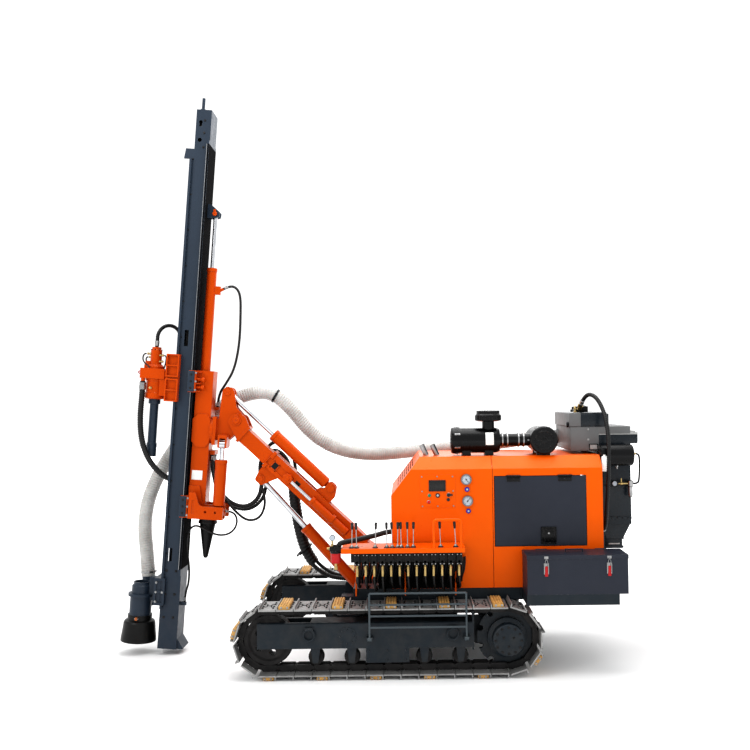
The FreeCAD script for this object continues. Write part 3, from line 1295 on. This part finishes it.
# Hose routes, point by point: diameter, and points in the machine frame or along the mast
HOSES = {
    "suction_hose": (136.0, mast_route([(-300.05, 176, 620.3), (-335.2, 177.6, 860)]) + [
        (-2440, 188, 1200), (-2400, 205, 1470), (-2280, 225, 1740), (-2110, 240, 2000), (-1900, 250, 2210),
        (-1660, 256, 2370), (-1420, 260, 2485), (-1180, 265, 2500), (-990, 285, 2330), (-840, 310, 2130),
        (-640, 350, 1960), (-400, 430, 1870), (-120, 560, 1840), (200, 690, 1860), (560, 720, 1890),
        (900, 710, 1915), (1210, 640, 1950), (collector_x - 526, 460, 2000), (collector_x - 306, 400, 2012)]),
    "boom_hoses": (44.0, mast_route([(291, 54, 1859.7), (291, 54, 1700)]) + [
        (-1690, 54, 1560), (-1560, 56, 1410), (-1410, 90, 1365), (-1290, 120, 1450), (-1260, 135, 1600),
        (-1290, 150, 1750), (-1250, 160, 1890), (-1120, 165, 1930), (-1010, 165, 1830), (-980, 165, 1660),
        (-975, 165, 1480), (-950, 160, 1280), (-910, 160, 1080), (-850, 165, 890), (-740, 175, 740),
        (-560, 190, 640), (-330.3, 190, 640)]),
    "boom_hose_outer": (36.0, mast_route([(291, 100, 1859.7), (291, 100, 1720)]) + [
        (-1722, 120, 1550), (-1590, 142, 1374), (-1402, 152, 1326), (-1256, 164, 1430), (-1222, 179, 1600),
        (-1250, 194, 1765), (-1236, 204, 1916), (-1165, 208, 2002), (-1050, 210, 2004), (-976, 211, 1914),
        (-942, 210, 1765), (-934, 210, 1620), (-932, 209, 1460), (-908, 206, 1286), (-871, 206, 1090),
        (-812, 212, 905), (-700, 222, 760), (-530, 237, 655), (-330.3, 238, 652)]),
    "loop_hose": (26.0, mast_route([(286, -10, 1859.7), (286, -10, 1730)]) + [
        (-1690, -8, 1590), (-1590, 0, 1450), (-1490, 20, 1320), (-1389, 44, 1240),
        (-1280, 66, 1260), (-1225, 80, 1370), (-1232, 82, 1500)] + [
        on_boom(1250, 82, -230), on_boom(1250, 82, -80.3)]),
    "head_hoses": (56.0, mast_route([(-412, -84, 2529.7), (-412, -84, 2390)]) + [
        (-2395, -90, 2290), (-2390, -92, 2090), (-2345, -88, 1910), (-2262, -76, 1772)] + mast_route([
            (-110, -52, 1591), (40, -52, 1591)])),
    "mast_ram_hose": (26.0, mast_route([
        (290.3, 0, mast_port_w + 23.2), (355, 0, mast_port_w + 60.4), (420, 6, mast_port_w + 38),
        (458, 12, mast_port_w - 42), (468, 20, 3220), (472, 32, 3020), (458, 45, 2840), (425, 60, 2680),
        (360, 76, hose_clip_w + 240), (290, 80, hose_clip_w + 120), (290, 80, hose_clip_w + running_gap)])),
    "motor_hose": (38.0, mast_route([
        (-322, 0, 2868.3), (-322.6, -0.6, 2930), (-322, 0, 3003), (-287.6, 36.7, 3072),
        (-231.9, 96.1, 3098.4), (-176.3, 155.4, 3072), (-142, 192, 3003), (-140, 194, 2925),
        (-142, 192, 2868), (-142, 192, 2820.3)])),
    "collector_hoses": (40.0, [(collector_x + dx, y, z) for dx, y, z in (
        (-95.9, -75.3, 2330.3), (-70, -166, 2434), (-6, -290, 2425), (39, -420, 2310),
        (57, -520, 2150), (58, -572, 1970), (54, -575, 1790), (46, -565, 1610), (38, -540, 1430),
        (38, -490, 1260), (40, -400, 1180), (40, -316.3, 1176))]),
    "mast_foot_hose": (20.0, mast_route([
        (440.3, 10, 1320), (510, 10, 1320), (568, -14, 1270), (575, -54, 1190), (530, -92, 1125),
        (450, -112, 1100), (360, -116, 1115), (270, -112, 1160), (190, -102, 1185), (130, -84, 1140),
        (108, -68, 1050), (112, -60, 940), (136, -60, 840), (152, -60, 730), (152, -60, 610), (128, -60, 530),
        (128, -60, 440.3)])),
}


def main():
    os.makedirs("parts", exist_ok=True)
    save("track_left", track(-track_gauge / 2))
    save("track_right", track(track_gauge / 2))
    save("track_sprockets", Part.Compound([sprocket(-1), sprocket(1)]))
    save("track_idlers", Part.Compound([idler(-1), idler(1)]))
    save("track_rollers", Part.Compound([roller(x, side) for side in (-1, 1) for x in roller_places()]))
    save("undercarriage", undercarriage())
    save("main_frame", main_frame())
    save("engine_block", engine_block())
    front, rear = hood()
    save("hood_front", front)
    save("hood_rear", rear)
    save("door_left", door(-1))
    save("door_right", door(1))
    save("instruments", instruments())
    save("exhaust_pipes", exhaust_pipes())
    save("air_filters", air_filters())
    save("dust_collector", dust_collector())
    save("dust_drum", dust_drum())
    save("toolbox", toolbox())
    save("toolbox_lid", toolbox_lid())
    save("console_frame", console_frame())
    save("valve_bank", valve_bank())
    save("control_levers", control_levers())
    save("lubricator", lubricator())
    save("side_step", side_step())
    save("boom_base", boom_base())
    save("boom_outer", boom_outer())
    save("boom_inner", boom_inner())
    save("head_bracket", head_bracket())
    save("slide_column", slide_column())
    save("column_boot", column_boot())
    save("mast_beam", mast_beam())
    save("feed_chain", feed_chain())
    save("head_sled", head_sled())
    save("rotary_head", rotary_head())
    save("drill_rod", drill_rod())
    save("suction_hood", suction_hood())
    save("hood_skirt", hood_skirt())
    for name, base, eye, axis in (
            ("lift", lift_base, lift_eye, (0, 1, 0)), ("tilt", tilt_base, tilt_eye, (0, 1, 0)),
            ("mast", mast_ram_base, mast_ram_eye, (0, 1, 0)), ("extend", extend_base, extend_eye, (0, 1, 0)),
            ("swing", swing_base, swing_eye, tuple(MAST.Rotation.multVec(V(1, 0, 0))))):
        barrel, rod = ram(name, base, eye, axis)
        if name == "mast":
            barrel = fuse([barrel, mast_port()])
        save(name + "_barrel", barrel)
        save(name + "_rod", rod)
    for name, (diameter, points) in HOSES.items():
        save(name, hose(name, points, diameter))


if __name__ == "__main__":
    main()
